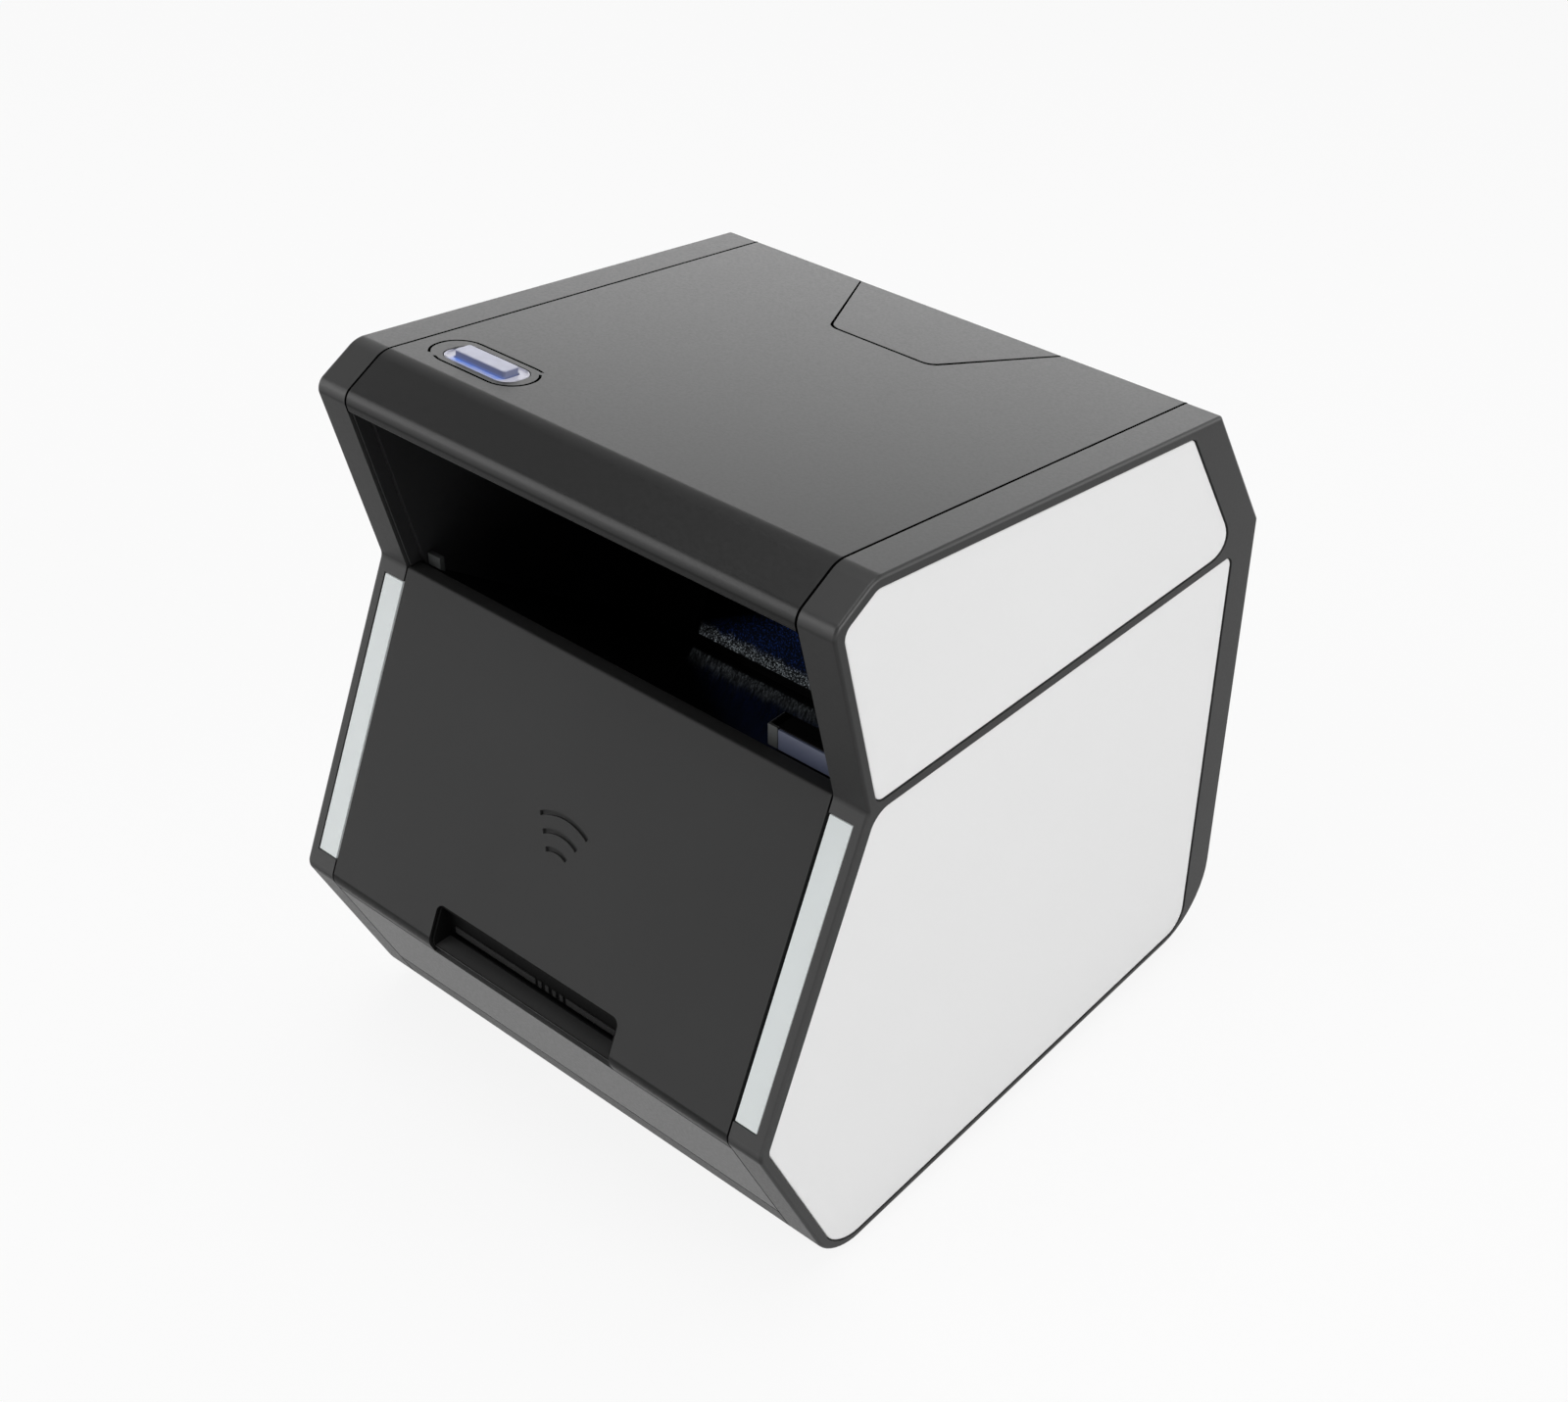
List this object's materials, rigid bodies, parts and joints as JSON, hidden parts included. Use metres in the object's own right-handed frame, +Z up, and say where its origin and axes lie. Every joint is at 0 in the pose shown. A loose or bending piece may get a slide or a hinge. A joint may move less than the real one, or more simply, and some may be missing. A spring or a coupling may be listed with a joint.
{
  "type": "receipt printer",
  "caption": "Desktop receipt printer with a hooded bay over a sloping document glass, an undercut front with a contactless mark and a paper outlet, and a rear paper door.",
  "frame": {"origin": "centre of the bounding box, on the plane the feet stand on", "axes": "+X to the right seen from the front, +Y to the rear, +Z up"},
  "size_m": [0.16, 0.1935, 0.1975],
  "materials": {
    "rim_plastic": "fine grain",
    "top_plastic": "satin",
    "panel_plastic": "satin",
    "plinth_plastic": "satin",
    "inlay_plastic": "satin",
    "strip_plastic": "frosted",
    "bay_plastic": "fine grain",
    "bay_glass": "polished dark glass",
    "window_plastic": "lit",
    "bezel_plastic": "translucent",
    "button_plastic": "satin",
    "socket_plastic": "moulded",
    "circuit_board": "solder mask",
    "gear_plastic": "moulded",
    "steel": "brushed",
    "aluminium": "milled",
    "brass": "turned",
    "rubber": "matt",
    "paper": "coated",
    "cardboard": "raw"
  },
  "bodies": {
    "case": {"antenna_board": "circuit_board", "base_tray": "rim_plastic", "bay_glass": "bay_glass", "bay_light_block": "strip_plastic", "bay_liner": "bay_plastic", "bay_stop_tab": "rim_plastic", "button_bezel": "bezel_plastic", "camera_module": "rim_plastic", "cutter_guide": "aluminium", "data_socket": "socket_plastic", "door_catch": "rim_plastic", "door_hinge_pin": "steel", "drive_motor": "steel", "fixed_blade": "steel", "front_panel": "panel_plastic", "head_rod": "steel", "idler_pin": "steel", "left_chassis_screw": "steel", "left_front_foot": "rubber", "left_light_board": "circuit_board", "left_light_strip": "strip_plastic", "left_lower_inlay": "inlay_plastic", "left_rear_foot": "rubber", "left_roll_bracket": "steel", "left_side_frame": "rim_plastic", "left_upper_inlay": "inlay_plastic", "main_board": "circuit_board", "network_socket": "socket_plastic", "outlet_chute": "panel_plastic", "plinth_panel": "plinth_plastic", "port_board": "circuit_board", "power_socket": "socket_plastic", "print_chassis": "steel", "rear_cover": "rim_plastic", "right_chassis_screw": "steel", "right_front_foot": "rubber", "right_light_board": "circuit_board", "right_light_strip": "strip_plastic", "right_lower_inlay": "inlay_plastic", "right_rear_foot": "rubber", "right_roll_bracket": "steel", "right_side_frame": "rim_plastic", "right_upper_inlay": "inlay_plastic", "scan_window": "window_plastic", "switch_board": "circuit_board", "top_cover": "top_plastic", "window_light_bar": "circuit_board"},
    "door": {"paper_door": "top_plastic"},
    "button": {"power_button": "button_plastic"},
    "platen": {"platen_shaft": "steel", "platen_roller": "rubber", "platen_gear": "gear_plastic"},
    "idler": {"idler_gear": "gear_plastic"},
    "pinion": {"motor_pinion": "brass"},
    "roll": {"paper_roll": "paper", "roll_core": "cardboard", "roll_spindle": "rim_plastic"},
    "head": {"thermal_head": "aluminium"},
    "cutter": {"cutter_blade": "steel"}
  },
  "joints": [
    {"name": "door_hinge", "type": "hinge", "parent": "case", "child": "door", "pos_m": [0, 0.09459, 0.0511], "axis": [-1, 0, 0], "range_deg": [0, 75]},
    {"name": "button_press", "type": "slide", "parent": "case", "child": "button", "axis": [0, -0.1367, -0.9906], "range_m": [0, 0.0012], "stiffness_N_per_m": 400, "springref_m": -0.002},
    {"name": "roll_spin", "type": "hinge", "parent": "case", "child": "roll", "pos_m": [0, 0.05919, 0.0691], "axis": [1, 0, 0], "continuous": true},
    {"name": "platen_spin", "type": "hinge", "parent": "case", "child": "platen", "pos_m": [0, -0.05581, 0.0523], "axis": [1, 0, 0], "continuous": true},
    {"name": "idler_spin", "type": "hinge", "parent": "case", "child": "idler", "pos_m": [0, -0.04437, 0.03875], "axis": [1, 0, 0], "continuous": true},
    {"name": "pinion_spin", "type": "hinge", "parent": "case", "child": "pinion", "pos_m": [0, -0.04436, 0.02582], "axis": [1, 0, 0], "continuous": true},
    {"name": "head_lift", "type": "hinge", "parent": "case", "child": "head", "pos_m": [0, -0.03581, 0.0646], "axis": [-1, 0, 0], "range_deg": [0, 6], "stiffness_Nm_per_rad": 0.5, "springref_deg": -11.46},
    {"name": "cutter_slide", "type": "slide", "parent": "case", "child": "cutter", "axis": [0, 0, -1], "range_m": [0, 0.004], "stiffness_N_per_m": 40, "springref_m": -0.01}
  ],
  "couplings": [
    {"joint": "platen_spin", "follows": "roll_spin", "ratio": -4.5455},
    {"joint": "idler_spin", "follows": "roll_spin", "ratio": 5.4545},
    {"joint": "pinion_spin", "follows": "roll_spin", "ratio": -9.0909}
  ]
}
